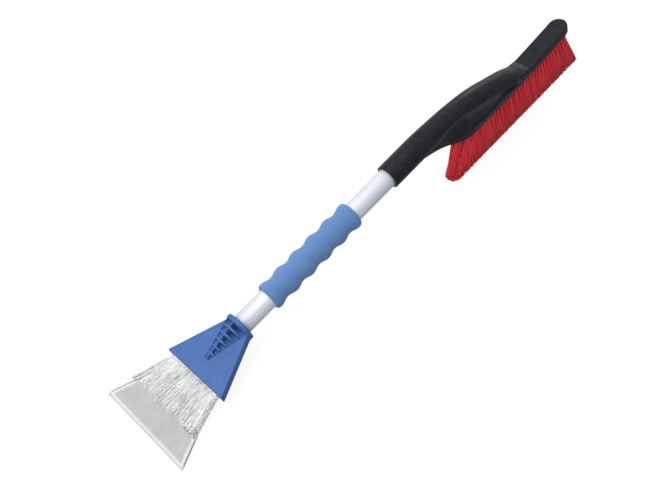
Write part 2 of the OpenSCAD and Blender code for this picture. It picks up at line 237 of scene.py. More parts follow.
def lathe(profile, segments):
    """A closed (x, r) profile turned round the X axis."""
    p = np.asarray(profile, float)
    a = np.arange(segments) * 2 * math.pi / segments
    verts = np.stack([np.repeat(p[:, 0], segments), np.outer(p[:, 1], np.cos(a)).ravel(),
                      np.outer(p[:, 1], np.sin(a)).ravel()], 1)
    i, j = np.meshgrid(np.arange(len(p)), np.arange(segments), indexing="ij")
    i2, j2 = (i + 1) % len(p), (j + 1) % segments
    here, there = i * segments, i2 * segments
    faces = np.stack([here + j, there + j, there + j2, here + j2], -1)
    return verts, faces.reshape(-1, 4)


def new_piece(name, verts, faces, material, slot, replaces):
    """A smooth-shaded mesh piece from tube-frame vertices and quads."""
    mesh = bpy.data.meshes.new(name)
    points = lay(verts)
    mesh.vertices.add(len(points))
    mesh.vertices.foreach_set("co", points.ravel())
    mesh.loops.add(faces.size)
    mesh.loops.foreach_set("vertex_index", faces.ravel().astype(np.int32))
    mesh.polygons.add(len(faces))
    mesh.polygons.foreach_set("loop_start", np.arange(len(faces), dtype=np.int32) * 4)
    mesh.update(calc_edges=True)
    mesh.validate()
    mesh.polygons.foreach_set("use_smooth", np.ones(len(mesh.polygons), bool))
    piece = bpy.data.objects.new(name, mesh)
    bpy.context.scene.collection.objects.link(piece)
    mesh.materials.append(material)
    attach(piece, "root")
    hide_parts(*replaces)
    return piece


# ---------------------------------------------------------------- materials
NOISE_LOW, NOISE_HIGH = 0.3, 0.7  # between these lies nearly all of a noise texture's value


class Shader:
    """A Principled material with a few procedural nodes around it."""

    def __init__(self, name, **values):
        self.material = bpy.data.materials.new(name)
        self.material.use_nodes = True
        self.tree = self.material.node_tree
        self.main = self.tree.nodes["Principled BSDF"]
        for key, value in values.items():
            self.main.inputs[key.replace("_", " ")].default_value = value
        place = self.node("ShaderNodeTexCoord")
        turn = self.node("ShaderNodeMapping", vector_type="POINT")
        # the inverse of lay(), kept in metres
        to_tube = Matrix([list(row) for row in TURN])
        turn.inputs["Location"].default_value = -(to_tube @ Vector(START))
        turn.inputs["Rotation"].default_value = to_tube.to_euler()
        self.link(place.outputs["Object"], turn.inputs["Vector"])
        self.coords = turn.outputs["Vector"]

    def node(self, kind, **settings):
        made = self.tree.nodes.new(kind)
        for key, value in settings.items():
            setattr(made, key, value)
        return made

    def link(self, a, b):
        self.tree.links.new(a, b)

    def scaled(self, x, y, z):
        made = self.node("ShaderNodeMapping")
        made.inputs["Scale"].default_value = (x, y, z)
        self.link(self.coords, made.inputs["Vector"])
        return made.outputs["Vector"]

    def along(self):
        """The place along the tube, in metres."""
        made = self.node("ShaderNodeSeparateXYZ")
        self.link(self.coords, made.inputs["Vector"])
        return made.outputs["X"]

    def across(self):
        """The distance from the middle plane, in metres."""
        made = self.node("ShaderNodeSeparateXYZ")
        self.link(self.coords, made.inputs["Vector"])
        return self.math("ABSOLUTE", made.outputs["Y"], 0)

    def noise(self, scale, detail=3.0, roughness=0.5, coords=None):
        made = self.node("ShaderNodeTexNoise")
        made.inputs["Scale"].default_value = scale
        made.inputs["Detail"].default_value = detail
        made.inputs["Roughness"].default_value = roughness
        self.link(coords or self.coords, made.inputs["Vector"])
        return made.outputs["Fac"]

    def cells(self, scale):
        made = self.node("ShaderNodeTexVoronoi", feature="F1")
        made.inputs["Scale"].default_value = scale
        self.link(self.coords, made.inputs["Vector"])
        return made.outputs["Distance"]

    def ramp(self, value, stops):
        made = self.node("ShaderNodeValToRGB")
        bar = made.color_ramp
        while len(bar.elements) < len(stops):
            bar.elements.new(0.5)
        for element, (where, colour) in zip(bar.elements, stops):
            element.position = where
            element.color = (*colour, 1)
        self.link(value, made.inputs["Fac"])
        return made.outputs["Color"]

    def span(self, value, low, high, start, end):
        """low to high while the value goes from start to end."""
        made = self.node("ShaderNodeMapRange")
        ends = {"From Min": start, "From Max": end, "To Min": low, "To Max": high}
        for key, number in ends.items():
            made.inputs[key].default_value = number
        self.link(value, made.inputs["Value"])
        return made.outputs["Result"]

    def shades(self, noise, dark, light):
        """A colour between two, by a noise."""
        return self.ramp(noise, [(NOISE_LOW, dark), (NOISE_HIGH, light)])

    def vary(self, noise, low, high):
        """A number between two, by a noise."""
        return self.span(noise, low, high, NOISE_LOW, NOISE_HIGH)

    def math(self, operation, a, b):
        made = self.node("ShaderNodeMath", operation=operation)
        for socket, value in zip(made.inputs, (a, b)):
            if isinstance(value, (int, float)):
                socket.default_value = value
            else:
                self.link(value, socket)
        return made.outputs["Value"]

    def bump(self, height, strength, distance):
        made = self.node("ShaderNodeBump")
        made.inputs["Strength"].default_value = strength
        made.inputs["Distance"].default_value = distance
        self.link(height, made.inputs["Height"])
        self.link(made.outputs["Normal"], self.main.inputs["Normal"])

    def colour(self, socket):
        self.link(socket, self.main.inputs["Base Color"])

    def rough(self, socket):
        self.link(socket, self.main.inputs["Roughness"])


def moulded(name, dark, light, rough, grain, depth, drift, **values):
    """Injection-moulded plastic: faint colour drift, fine grain and slightly uneven gloss."""
    s = Shader(name, **values)
    s.colour(s.shades(s.noise(drift, 4, 0.6), dark, light))
    s.rough(s.vary(s.noise(120, 4, 0.6), rough - 0.06, rough + 0.08))
    s.bump(s.noise(grain, 3, 0.6), strength=0.5, distance=depth)
    return s.material


# how fast the blade's and the ribbed body's flanks close in towards the head
FLANK_SLOPE, BODY_SLOPE = 0.44, 0.314
# metres from the blade's outline: over these the painted dark outline (painted shade) fades into
# the painted pale rim (painted light), and the rim into the middle; beside the ribs the rim is
# narrower by the last
OUTLINE_SHADE_START, OUTLINE_SHADE_END = 0.0007, 0.0013
RIM_LIGHT_START, RIM_LIGHT_END = 0.0034, 0.0052
RIM_NARROWER = 0.0025
# metres in from the ribbed body's flanks, over which its painted pale side walls (painted light)
# fade
WALL_LIGHT_START, WALL_LIGHT_END = 0.0004, 0.0018
# along the tube: where the plain blade ends, and where the painted streaks of highlight and shade
# begin and are strongest
PLAIN_END, STREAK_PAINT_START, STREAK_PAINT_FULL = RIBBED_X - 1, RIBBED_X - 2, RIBBED_X + 4


def clear_plastic():
    """Clear plastic with painted light: a paler rim where it is thin inside a painted dark outline,
    and painted streaks of highlight and shade down the ribs.
    """
    s = Shader("clear_blade", IOR=1.49, Transmission_Weight=0.86)
    x, y = s.along(), s.across()
    # the bevelled rims are thin and painted lighter (painted light), inside a thin painted darker
    # outline (painted shade)
    to_edge = s.math("SUBTRACT", x, EDGE_X / 1000)
    half = s.math("SUBTRACT", EDGE_HALF / 1000, s.math("MULTIPLY", to_edge, FLANK_SLOPE))
    flank = s.math("SUBTRACT", half, y)
    plain = s.math("LESS_THAN", x, PLAIN_END / 1000)
    narrower = s.math("SUBTRACT", RIM_NARROWER, s.math("MULTIPLY", plain, RIM_NARROWER))
    rim = s.math("MINIMUM", to_edge, s.math("ADD", flank, narrower))
    depth = s.span(rim, 0.24, 0.6, RIM_LIGHT_START, RIM_LIGHT_END)
    outline = s.span(rim, 0.42, 0.0, OUTLINE_SHADE_START, OUTLINE_SHADE_END)
    # painted streaks of highlight and shade, only on the ribbed body
    drawn = s.scaled(0.12, 1, 1)
    coarse = s.vary(s.noise(300, 2, 0.5, drawn), -0.58, 0.3)
    fine = s.vary(s.noise(760, 3, 0.6, drawn), -0.64, 0.46)
    painted_streaks = s.math("ADD", coarse, fine)
    ribbed = s.span(x, 0.0, 1.0, STREAK_PAINT_START / 1000, STREAK_PAINT_FULL / 1000)
    # the body's side walls are painted paler too (painted light)
    behind = s.math("MULTIPLY", s.math("SUBTRACT", x, RIBBED_X / 1000), BODY_SLOPE)
    body_edge = s.math("SUBTRACT", RIB_W0 / 2 / 1000, behind)
    painted_wall_light = s.span(s.math("SUBTRACT", body_edge, y), -0.5, 0.0, WALL_LIGHT_START, WALL_LIGHT_END)
    painted_streaks = s.math("ADD", painted_streaks, painted_wall_light)
    drift = s.vary(s.noise(90, 4), -0.07, 0.07)
    # drift is the plastic's own uneven tint; the rest of the tone is painted light and shade
    base = s.math("ADD", depth, s.math("ADD", drift, outline))
    tint_and_painted_light = s.math("ADD", base, s.math("MULTIPLY", painted_streaks, ribbed))
    s.colour(s.ramp(tint_and_painted_light, [(0.0, (0.98, 0.98, 0.985)), (0.3, (0.82, 0.83, 0.83)),
                           (0.6, (0.60, 0.61, 0.615)), (1.0, (0.36, 0.355, 0.35))]))
    s.rough(s.vary(s.noise(180, 4), 0.04, 0.14))
    s.bump(s.noise(420, 4, 0.6), strength=0.5, distance=0.00016)
    return s.material


def drawn_aluminium():
    """Satin aluminium with faint lines along the tube."""
    s = Shader("satin_aluminium", Metallic=0.45)
    drawn = s.scaled(0.03, 1, 1)
    s.colour(s.shades(s.noise(900, 3, 0.5, drawn), (0.66, 0.70, 0.77), (0.77, 0.81, 0.875)))
    s.rough(s.vary(s.noise(1600, 3, 0.5, drawn), 0.46, 0.58))
    s.bump(s.noise(2200, 2, 0.5, drawn), strength=0.25, distance=0.00002)
    return s.material


def foam():
    """Blue foam with fine pores."""
    s = Shader("blue_foam", Sheen_Weight=0.25)
    s.colour(s.shades(s.noise(700, 4, 0.6), (0.088, 0.205, 0.45), (0.110, 0.238, 0.51)))
    s.rough(s.vary(s.noise(300, 3), 0.75, 0.95))
    pores = s.math("ADD", s.cells(1500), s.math("MULTIPLY", s.noise(500, 4, 0.7), 0.8))
    s.bump(pores, strength=0.8, distance=0.00035)
    return s.material


def bristle_plastic():
    """Red filaments whose shade changes from one to the next."""
    s = Shader("red_bristle", Specular_IOR_Level=0.25)
    streaks = s.scaled(1, 1, 0.03)
    s.colour(s.ramp(s.noise(420, 3, 0.6, streaks),
                    [(0.32, (0.68, 0.028, 0.044)), (0.5, (0.86, 0.047, 0.068)),
                     (0.7, (0.95, 0.074, 0.10))]))
    s.rough(s.vary(s.noise(800, 2, 0.5, streaks), 0.35, 0.5))
    return s.material


def screw_metal():
    s = Shader("screw_steel", Metallic=1.0)
    s.colour(s.shades(s.noise(500, 4), (0.42, 0.42, 0.43), (0.60, 0.60, 0.61)))
    s.rough(s.vary(s.noise(900, 3), 0.25, 0.42))
    s.bump(s.noise(1500, 2), strength=0.3, distance=0.00003)
    return s.material


def staple_metal():
    s = Shader("staple_wire", Metallic=1.0)
    s.colour(s.shades(s.noise(700, 3), (0.50, 0.47, 0.38), (0.66, 0.63, 0.54)))
    s.rough(s.vary(s.noise(900, 3), 0.25, 0.4))
    return s.material


blue_plastic = moulded("blue_plastic", (0.032, 0.104, 0.32), (0.044, 0.130, 0.38),
                       rough=0.5, grain=700, depth=0.00005, drift=90)
black_plastic = moulded("black_plastic", (0.006, 0.006, 0.009), (0.018, 0.018, 0.024),
                        rough=0.32, grain=800, depth=0.00014, drift=260, Specular_IOR_Level=0.2)
black_board = moulded("black_board", (0.008, 0.008, 0.009), (0.013, 0.013, 0.015),
                      rough=0.6, grain=1500, depth=0.00008, drift=14)
clear_blade = clear_plastic()
satin_aluminium = drawn_aluminium()
blue_foam = foam()
red_bristle = bristle_plastic()
screw_steel = screw_metal()
staple_wire = staple_metal()

# ---------------------------------------------------------------- the ice blade
# A leaning face is measured square to itself, so its distance is scaled by the lean's cosine.
FLANK_COS, BEVEL_COS, BODY_COS, TOP_COS = 0.907, 0.957, 0.954, 0.99
EDGE_T, BEVEL_RISE, BEVEL_RUN = 1, 2, 6.6
PLATE_LAP, BODY_LAP = 4, 1.5
FRONT_TOE, FRONT_COS, FRONT_SIN = 1.6, 0.93, 0.37
RIBS, RIB_R, RIB_MARGIN, RIB_FLATTEN = 23, 1.7, 2.4, 0.92
HALF_RIBS = (RIBS - 1) / 2
# how far behind the shoulder the ribs begin, how much less that is at the corners, and how far
# in front of the head they end
RIB_START, CORNER_REACH, RIB_STOP = 3.6, 3.4, 3.5
VALLEY, RIB_SINK = 0.5, 0.2
TONGUE_LEN, TONGUE_HALF0, TONGUE_HALF1, TONGUE_LAP = 38, 33, 17, 4
TONGUE_TOP, TONGUE_BOTTOM, TONGUE_COS = -1.6, -6.2, 0.92


def blade_field(x, y, z):
    side = np.abs(y)
    # smooth blade with its bevelled edge
    t = (x - EDGE_X) / (RIBBED_X - EDGE_X)
    flank = (side - mix(EDGE_HALF, SHOULDER_HALF, t)) * FLANK_COS
    bevel = (z - (BLADE_Z0 + EDGE_T + (x - EDGE_X) * BEVEL_RISE / BEVEL_RUN)) * BEVEL_COS
    plate = rounded([flank, EDGE_X - x, x - RIBBED_X - PLATE_LAP, z - BLADE_Z1, BLADE_Z0 - z,
                     bevel], r=0.35)
    # raised body that tapers to the head
    t = (x - RIBBED_X) / (HEAD_X - RIBBED_X)
    half = mix(RIB_W0, RIB_W1, t) / 2
    top = mix(RIB_TOP0, RIB_TOP1, t)
    front = (RIBBED_X - FRONT_TOE - x) * FRONT_COS + (z - BLADE_Z1) * FRONT_SIN
    body = rounded([(side - half) * BODY_COS, front, x - HEAD_X - BODY_LAP,
                    (z - top + VALLEY) * TOP_COS, BLADE_Z0 - z], r=0.7)
    # half-round ribs along its top, fanned like its sides; arbitrary waves of the rib's number
    # make them uneven in length and thickness
    pitch = (half - RIB_MARGIN) / HALF_RIBS
    n = np.clip(np.round(y / pitch), -HALF_RIBS, HALF_RIBS)
    ragged = np.sin(n * 2.3 + 0.7) + 0.7 * np.sin(n * 5.1)
    start = RIBBED_X + RIB_START - CORNER_REACH * (n / HALF_RIBS) ** 6 + ragged
    before = np.maximum(start - x, 0)
    after = np.maximum(x - HEAD_X + RIB_STOP, 0)
    across = np.sqrt((y - n * pitch) ** 2 * RIB_FLATTEN + before ** 2 + after ** 2)
    uneven = 0.2 * np.sin(x * 0.9 + n * 2.1) + 0.14 * np.sin(x * 2.3 + n * 4.7)
    rib = np.sqrt(across ** 2 + (z - top + RIB_SINK) ** 2) - RIB_R - uneven
    ribbed = join(body, rib, k=0.35)
    # tongue held inside the head
    t = (x - HEAD_X) / TONGUE_LEN
    tongue = rounded([(side - mix(TONGUE_HALF0, TONGUE_HALF1, t)) * TONGUE_COS,
                      HEAD_X - TONGUE_LAP - x, x - HEAD_X - TONGUE_LEN,
                      z - TONGUE_TOP, TONGUE_BOTTOM - z], r=0.3)
    return np.minimum(join(plate, ribbed, k=0.8), tongue)


new_piece("clear_blade",
          *surface(blade_field, low=(-275, -64, -10), high=(-164, 64, 6.4), cell=0.5),
          clear_blade, "clear_blade", ["scraper_blade"])

# ---------------------------------------------------------------- the scraper head
WEDGE_HALF0, WEDGE_HALF1, WEDGE_COS = 43, 16.2, 0.924
BOSS_LEN, BOSS_R, BOSS_TIP_R, BOSS_COS = 51.0, 15.4, 1.1, 0.968
SPINE_T, POCKETS, POCKET_FIRST, POCKET_W, POCKET_PITCH = 1.8, 6, 2.7, 4.9, 7.4
# how far a pocket reaches out and where its floor lies, in boss radii
POCKET_REACH, POCKET_FLOOR = 0.9, 0.24
# how far a pocket may go into the wedge's top, and how far it stays off the wedge's underside
POCKET_SINK, POCKET_GAP = 1.4, 0.7
SPIGOT_R, SPIGOT_END = 9.9, -106.5
HEAD_LAP = 1
SEAT_LEN, SEAT_HALF0, SEAT_HALF1, SEAT_LAP, SEAT_TOP, SEAT_BOTTOM = 38.3, 33.2, 17.2, 2, -1.5, -6.3
SCREW_RUN, SCREW_Y, SCREW_ROOM_R, SCREW_SEAT = 20, 15, 3.3, -7.0


def head_field(x, y, z):
    side = np.abs(y)
    t = (x - HEAD_X) / (BOSS_X - HEAD_X)
    half = mix(WEDGE_HALF0, WEDGE_HALF1, t)
    top = HEAD_TOP + HEAD_RISE * t
    wedge = rounded([(side - half) * WEDGE_COS, HEAD_X - x, x - BOSS_X - HEAD_LAP, z - top,
                     top - HEAD_T - z], r=1.3)
    t = (x - BOSS_X + BOSS_LEN) / BOSS_LEN
    boss_r = mix(BOSS_TIP_R, BOSS_R, t)
    boss = rounded([disc(y, z, boss_r) * BOSS_COS, x - BOSS_X - HEAD_LAP,
                    BOSS_X - BOSS_LEN - x], r=0.5)
    # pockets beside the spine, above and below the wedge
    n = np.clip(np.round((BOSS_X - POCKET_FIRST - x) / POCKET_PITCH), 0, POCKETS - 1)
    along = np.abs(x - (BOSS_X - POCKET_FIRST - n * POCKET_PITCH)) - POCKET_W / 2
    upper = np.maximum(top - POCKET_SINK, POCKET_FLOOR * boss_r) - z
    lower = z - np.minimum(top - HEAD_T - POCKET_GAP, -2 * POCKET_FLOOR * boss_r)
    pocket = rounded([along, SPINE_T / 2 - side, side - POCKET_REACH * boss_r,
                      np.minimum(upper, lower)], r=0.4)
    body = cut(join(wedge, boss, k=2.5), pocket, k=0.6)
    # collar and spigot, with the tube's seat between them
    body = join(body, rod(x, y, z, BOSS_X, COLLAR_X, COLLAR_R, edge=1.1), k=0.5)
    body = np.minimum(body, rod(x, y, z, BOSS_X - HEAD_LAP, SPIGOT_END, SPIGOT_R, edge=0.6))
    cup = np.maximum(disc(y, z, TUBE_R + FIT), TUBE_X0 - x)
    cup = np.maximum(cup, SPIGOT_R - np.sqrt(y * y + z * z))
    body = cut(body, cup, k=0.4)
    # slot for the blade's tongue, and room for the heads of its two screws
    t = (x - HEAD_X) / SEAT_LEN
    seat = rounded([(side - mix(SEAT_HALF0, SEAT_HALF1, t)) * TONGUE_COS,
                    HEAD_X - SEAT_LAP - x, x - HEAD_X - SEAT_LEN,
                    z - SEAT_TOP, SEAT_BOTTOM - z], r=0.1)
    body = cut(body, seat, k=0.3)
    room = np.maximum(disc(x - HEAD_X - SCREW_RUN, side - SCREW_Y, SCREW_ROOM_R), z - SCREW_SEAT)
    return cut(body, room, k=0.3)


new_piece("blue_head",
          *surface(head_field, low=(-205, -44, -18), high=(-105, 44, 18), cell=0.5),
          blue_plastic, "blue_plastic", ["scraper_head"])

# ---------------------------------------------------------------- tube and foam grip
BORE_R, TUBE_EDGE, BORE_EDGE = TUBE_R - TUBE_WALL, 0.3, 0.1
tube_profile = [(TUBE_X0, BORE_R + BORE_EDGE), (TUBE_X0, TUBE_R - TUBE_EDGE),
                (TUBE_X0 + TUBE_EDGE, TUBE_R), (TUBE_X1 - TUBE_EDGE, TUBE_R),
                (TUBE_X1, TUBE_R - TUBE_EDGE), (TUBE_X1, BORE_R + BORE_EDGE),
                (TUBE_X1 - BORE_EDGE, BORE_R), (TUBE_X0 + BORE_EDGE, BORE_R)]
new_piece("aluminium_tube", *lathe(tube_profile, segments=160),
          satin_aluminium, "satin_aluminium", ["tube"])

GRIP_X0, GRIP_LEN, GRIP_BULGES = -100.5, 124.0, 6
GRIP_R0, GRIP_R1, GRIP_ROUND = 15.3, 12.8, 2.6
# the share of a bulge that both ends cut off, and where the first bulge's top lies, in bulges
GRIP_CUT, GRIP_FIRST = 0.58, 0.21
# the share of even spacing in the profile's points: the rest draws them to the rounded ends
GRIP_STEPS, GRIP_EVEN = 220, 0.8
GRIP_BORE_R, GRIP_BORE_IN = TUBE_R + 0.02, 0.2


def grip_profile():
    """The sleeve's outline over the tube: a wave of bulges with rounded ends."""
    pitch = GRIP_LEN / (GRIP_BULGES - GRIP_CUT)
    t = GRIP_LEN / 2 * (1 - np.cos(np.linspace(0, math.pi, GRIP_STEPS)))
    t = mix(t, np.linspace(0, GRIP_LEN, GRIP_STEPS), GRIP_EVEN)
    wave = np.cos(2 * math.pi * (t - GRIP_FIRST * pitch) / pitch)
    r = (GRIP_R0 + GRIP_R1) / 2 + (GRIP_R0 - GRIP_R1) / 2 * wave
    end = np.minimum(t, GRIP_LEN - t)
    r -= GRIP_ROUND - np.sqrt(np.maximum(GRIP_ROUND ** 2 - np.maximum(GRIP_ROUND - end, 0) ** 2, 0))
    outer = list(zip(GRIP_X0 + t, r))
    return [(GRIP_X0 + GRIP_BORE_IN, GRIP_BORE_R)] + outer \
        + [(GRIP_X0 + GRIP_LEN - GRIP_BORE_IN, GRIP_BORE_R)]


grip = new_piece("foam_sleeve", *lathe(grip_profile(), segments=144),
                 blue_foam, "blue_foam", ["foam_grip"])

# ---------------------------------------------------------------- the brush head
BEND_RUN, BEND_COS = 68, 0.934
SLIM_X0, SLIM_X1 = SOCKET_X + 40, BLOCK_X + 24
NECK_TAIL, NECK_TAIL_H = 31, 3
WEB_HALF = 2.2
WEB = [(SOCKET_X + 12, -11), (BLOCK_X - 62, -15.6), (BLOCK_X - 52, -18.6), (BLOCK_X - 40, -22.6),
       (BLOCK_X - 30, -25.8), (BLOCK_X - 20, -29.8), (BLOCK_X - 10.5, -35.0), (BLOCK_X - 2, -40.4),
       (BLOCK_X + 3, -41.5), (BLOCK_X + 10, -37), (BLOCK_X + 60, -24), (BLOCK_X + 30, -4),
       (BLOCK_X - 20, -4)]
# the saddle lies inside the block's outline by a ledge that narrows along the block
LEDGE0, LEDGE1, LEDGE_X0, LEDGE_X1 = 2.4, 0.4, BLOCK_X + 12, BLOCK_X + 55
SADDLE_SINK, SADDLE_LAP, SADDLE_TAIL = 2, 4, 20
RECESS_X, RECESS_SIDE, RECESS_Z, RECESS_TILT = 256, 11.2, -31, 0.3
RECESS_LONG, RECESS_DEEP, RECESS_HIGH, RECESS_MEAN = 13, 3.4, 3.8, 3.2
BORE_SPARE = 2


def neck_z(x):
    """The height of the neck's middle line: straight, then an arc, then straight again."""
    run = BEND_R * math.sin(BEND_ANGLE)
    arc = np.sqrt(np.maximum(BEND_R ** 2 - np.clip(x - BEND_X, 0, run) ** 2, 1)) - BEND_R
    return arc - np.maximum(x - BEND_X - run, 0) * math.tan(BEND_ANGLE)


def underside(x):
    """The height of the block's underside, a slight arch."""
    return -BLOCK_DROP + ARCH_R - np.sqrt(ARCH_R ** 2 - (x - ARCH_X) ** 2)


def neck_field(x, y, z):
    """Round at the socket, then a flatter oval that follows the bend and thins out on the block."""
    slim = ease(x, SLIM_X0, SLIM_X1)
    w = mix(NECK_R, NECK_W / 2, slim)
    h = mix(mix(NECK_R, NECK_H / 2, slim), NECK_TAIL_H, ease(x, NECK_END - NECK_TAIL, NECK_END))
    dz = z - neck_z(x)
    k0 = np.sqrt((y / w) ** 2 + (dz / h) ** 2) + 1e-9
    k1 = np.sqrt((y / w ** 2) ** 2 + (dz / h ** 2) ** 2) + 1e-9
    tube = k0 * (k0 - 1) / k1 * mix(1, BEND_COS, ease(x, BEND_X, BEND_X + BEND_RUN))
    return rounded([tube, SOCKET_X - x, x - NECK_END], r=0.8)


def block_plan(x, y, inset):
    """Plan distance to the block's outline, drawn in by the inset; the small tip, by half of it."""
    radii = [r - (inset / 2 if n == 0 else inset) for n, (_, r) in enumerate(PLAN_CIRCLES)]
    plan = 1e9
    for n in range(len(radii) - 1):
        x0, x1 = PLAN_CIRCLES[n][0], PLAN_CIRCLES[n + 1][0]
        plan = np.minimum(plan, uneven_capsule(x, y, x0, radii[n], x1, radii[n + 1]))
    return plan


def brush_field(x, y, z):
    side = np.abs(y)
    # a distance in two directions gets the third one's shape by adding it times zero
    flat_y, flat_z = y * 0, z * 0
    neck = neck_field(x, y, z)
    web = rounded([polygon_distance(WEB, x, z) + flat_y, side - WEB_HALF], r=0.8)
    up = z - underside(x)
    plan = block_plan(x, y, 0)
    ledge = mix(LEDGE0, LEDGE1, ease(x, LEDGE_X0, LEDGE_X1))
    saddle = rounded([plan + ledge + flat_z, z - neck_z(x) + SADDLE_SINK,
                      BLOCK_T - SADDLE_LAP - up, x - NECK_END + SADDLE_TAIL], r=2.0)
    block = rounded([plan + flat_z, up - BLOCK_T, -up], r=1.4)
    body = join(join(neck, web, k=3), saddle, k=8)
    body = join(body, block, k=3.5)
    # a shallow recess on each side, where the neck's end meets the block
    dz = z - RECESS_Z + (x - RECESS_X) * RECESS_TILT
    recess = np.sqrt(((x - RECESS_X) / RECESS_LONG) ** 2
                     + ((side - RECESS_SIDE) / RECESS_DEEP) ** 2 + (dz / RECESS_HIGH) ** 2)
    body = cut(body, (recess - 1) * RECESS_MEAN, k=2.4)
    # the hollow for the tuft board, and the bore for the tube
    hollow = np.maximum(block_plan(x, y, SKIRT_T) + flat_z, up - BOARD_T)
    bore = np.maximum(disc(y, z, TUBE_R + FIT), x - TUBE_X1 - BORE_SPARE)
    return cut(cut(body, hollow, k=0.4), bore, k=0.6)


new_piece("brush_head_moulding",
          *surface(brush_field, low=(76, -14.6, -47), high=(368, 14.6, 15), cell=0.8),
          black_plastic, "black_plastic", ["brush_head"])

# ---------------------------------------------------------------- the bristles
ROW_PITCH, TUFTS, OUTER_TUFTS = 4.5, 38, 34
ROW_LEAN = math.radians(0.1)  # a row's lean, for each millimetre that it lies off the middle
# how far in from the block's near and far ends the tufts of inner and outer rows begin
INNER_IN, OUTER_IN = (5.5, 6.5), (19.5, 11.5)
FAN_NEAR, FAN_FAR, FAN_POWER = 75.0, 50.0, 1.6
REACH_NEAR, REACH_FAR, BRISTLE_LEN, FAR_SPARE = 14.2, 2.6, 48.0, 3
FILAMENTS, FILAMENT_R, TIP_TAPER = 120, 0.26, 0.85
# a tuft is round at its root; at the tip it widens to meet the next tufts
TUFT_R_ROOT, TUFT_R_TIP, TIP_SHARE = 1.35, 2.15, 0.62
TIP_HALF, TIP_CROWD, TIP_JITTER, BOW = 2.75, 1.3, 0.12, 0.3
TIP_ARC_R, TIP_ARC_LEN, TIP_ARC_SPARE = 9.8, 45, 0.3
TRIM_GAP, TRIM_UNEVEN = 0.22, 0.5
EVEN_STEP = (0.7548777, 0.5698403)  # the steps of the sequence that fills a square evenly
FLARE = 1.2  # how late along its length a filament moves from its root's place to its tip's
FIRST_SEED = 100
RINGS = np.array([-0.06, 0.2, 0.6, 1.0])  # from just inside the board to the tip


def tip_inset(y):
    """How far back from the middle the near end's tips lie, so that they end on an arc."""
    off = np.minimum(np.abs(y), TIP_ARC_R - TIP_ARC_SPARE)
    return TIP_ARC_R - np.sqrt(TIP_ARC_R ** 2 - off ** 2)


def row_tufts(row, row_y):
    """Where a row's tufts start, and how far each leans towards the handle."""
    outer = row in (1, 4)
    near_in, far_in = OUTER_IN if outer else INNER_IN
    first, last = BLOCK_X + near_in, BLOCK_END - far_in
    near_tip = BLOCK_X - REACH_NEAR + tip_inset(row_y)
    near_lean = math.atan((first - near_tip) / BRISTLE_LEN)
    far_lean = math.atan((BLOCK_END + REACH_FAR - last) / (BRISTLE_LEN + FAR_SPARE))
    root_x = np.linspace(first, last, OUTER_TUFTS if outer else TUFTS)
    lean = near_lean * np.maximum(0, 1 - (root_x - first) / FAN_NEAR) ** FAN_POWER \
        - far_lean * np.maximum(0, 1 - (last - root_x) / FAN_FAR) ** FAN_POWER
    return root_x, lean


def rod_quads(count):
    """The quads of square rods that have four vertices a ring, with both ends closed."""
    sides = []
    for k in range(0, 4 * len(RINGS) - 4, 4):
        for a in range(4):
            b = (a + 1) % 4
            sides.append([k + a, k + b, k + 4 + b, k + 4 + a])
    end = 4 * len(RINGS) - 4
    sides.append([end, end + 1, end + 2, end + 3])
    sides.append([3, 2, 1, 0])
    first = np.arange(count) * 4 * len(RINGS)
    return (np.array(sides)[None] + first[:, None, None]).reshape(-1, 4)


